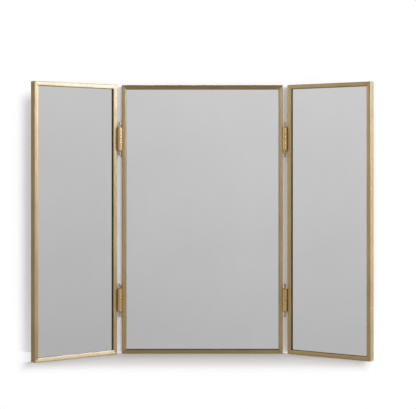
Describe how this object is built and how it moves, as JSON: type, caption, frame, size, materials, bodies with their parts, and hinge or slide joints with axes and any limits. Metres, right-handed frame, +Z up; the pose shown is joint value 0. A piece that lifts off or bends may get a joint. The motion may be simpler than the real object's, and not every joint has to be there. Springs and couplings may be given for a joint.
{
  "type": "three-panel folding mirror",
  "caption": "Wall-hung folding mirror: framed centre glass with a hinged mirror wing on each side, slim satin-brass frames and finial-tipped hinges.",
  "frame": {"origin": "middle of the underside of the centre panel's bottom rail", "axes": "+Z up, -Y towards the viewer in front of the mirror, +X to the viewer's right"},
  "size_m": [0.9342, 0.1763, 0.762],
  "materials": {
    "frame_brass": "satin brushed",
    "hinge_brass": "polished",
    "mirror": "polished",
    "hardboard": "matte",
    "steel": "zinc plated",
    "rubber": "matte"
  },
  "bodies": {
    "centre": {"centre_backing_board": "hardboard", "centre_bottom_rail": "frame_brass", "centre_corner_keys": "steel", "centre_hinge_screws": "hinge_brass", "centre_left_stile": "frame_brass", "centre_mirror_glass": "mirror", "centre_right_stile": "frame_brass", "centre_set_screws": "steel", "centre_spring_clips": "steel", "centre_tapped_strips": "steel", "centre_top_rail": "frame_brass", "hanger_screws": "steel", "hinge_washers": "hinge_brass", "left_hanger_plate": "steel", "left_lower_hinge_centre_leaf": "hinge_brass", "left_lower_hinge_lower_finial": "hinge_brass", "left_lower_hinge_pin": "hinge_brass", "left_lower_hinge_upper_finial": "hinge_brass", "left_upper_hinge_centre_leaf": "hinge_brass", "left_upper_hinge_lower_finial": "hinge_brass", "left_upper_hinge_pin": "hinge_brass", "left_upper_hinge_upper_finial": "hinge_brass", "left_wall_bumper": "rubber", "right_hanger_plate": "steel", "right_lower_hinge_centre_leaf": "hinge_brass", "right_lower_hinge_lower_finial": "hinge_brass", "right_lower_hinge_pin": "hinge_brass", "right_lower_hinge_upper_finial": "hinge_brass", "right_upper_hinge_centre_leaf": "hinge_brass", "right_upper_hinge_lower_finial": "hinge_brass", "right_upper_hinge_pin": "hinge_brass", "right_upper_hinge_upper_finial": "hinge_brass", "right_wall_bumper": "rubber"},
    "left_wing": {"left_lower_hinge_wing_leaf": "hinge_brass", "left_upper_hinge_wing_leaf": "hinge_brass", "left_wing_backing_board": "hardboard", "left_wing_bottom_rail": "frame_brass", "left_wing_corner_keys": "steel", "left_wing_hinge_screws": "hinge_brass", "left_wing_left_stile": "frame_brass", "left_wing_mirror_glass": "mirror", "left_wing_right_stile": "frame_brass", "left_wing_set_screws": "steel", "left_wing_spring_clips": "steel", "left_wing_tapped_strips": "steel", "left_wing_top_rail": "frame_brass"},
    "right_wing": {"right_lower_hinge_wing_leaf": "hinge_brass", "right_upper_hinge_wing_leaf": "hinge_brass", "right_wing_backing_board": "hardboard", "right_wing_bottom_rail": "frame_brass", "right_wing_corner_keys": "steel", "right_wing_hinge_screws": "hinge_brass", "right_wing_left_stile": "frame_brass", "right_wing_mirror_glass": "mirror", "right_wing_right_stile": "frame_brass", "right_wing_set_screws": "steel", "right_wing_spring_clips": "steel", "right_wing_tapped_strips": "steel", "right_wing_top_rail": "frame_brass"}
  },
  "joints": [
    {"name": "left_wing_fold", "type": "hinge", "parent": "centre", "child": "left_wing", "pos_m": [-0.23401, -0.01565, 0], "axis": [0, 0, 1], "range_deg": [-35, 115]},
    {"name": "right_wing_fold", "type": "hinge", "parent": "centre", "child": "right_wing", "pos_m": [0.23401, -0.01565, 0], "axis": [0, 0, -1], "range_deg": [-30, 120]}
  ]
}
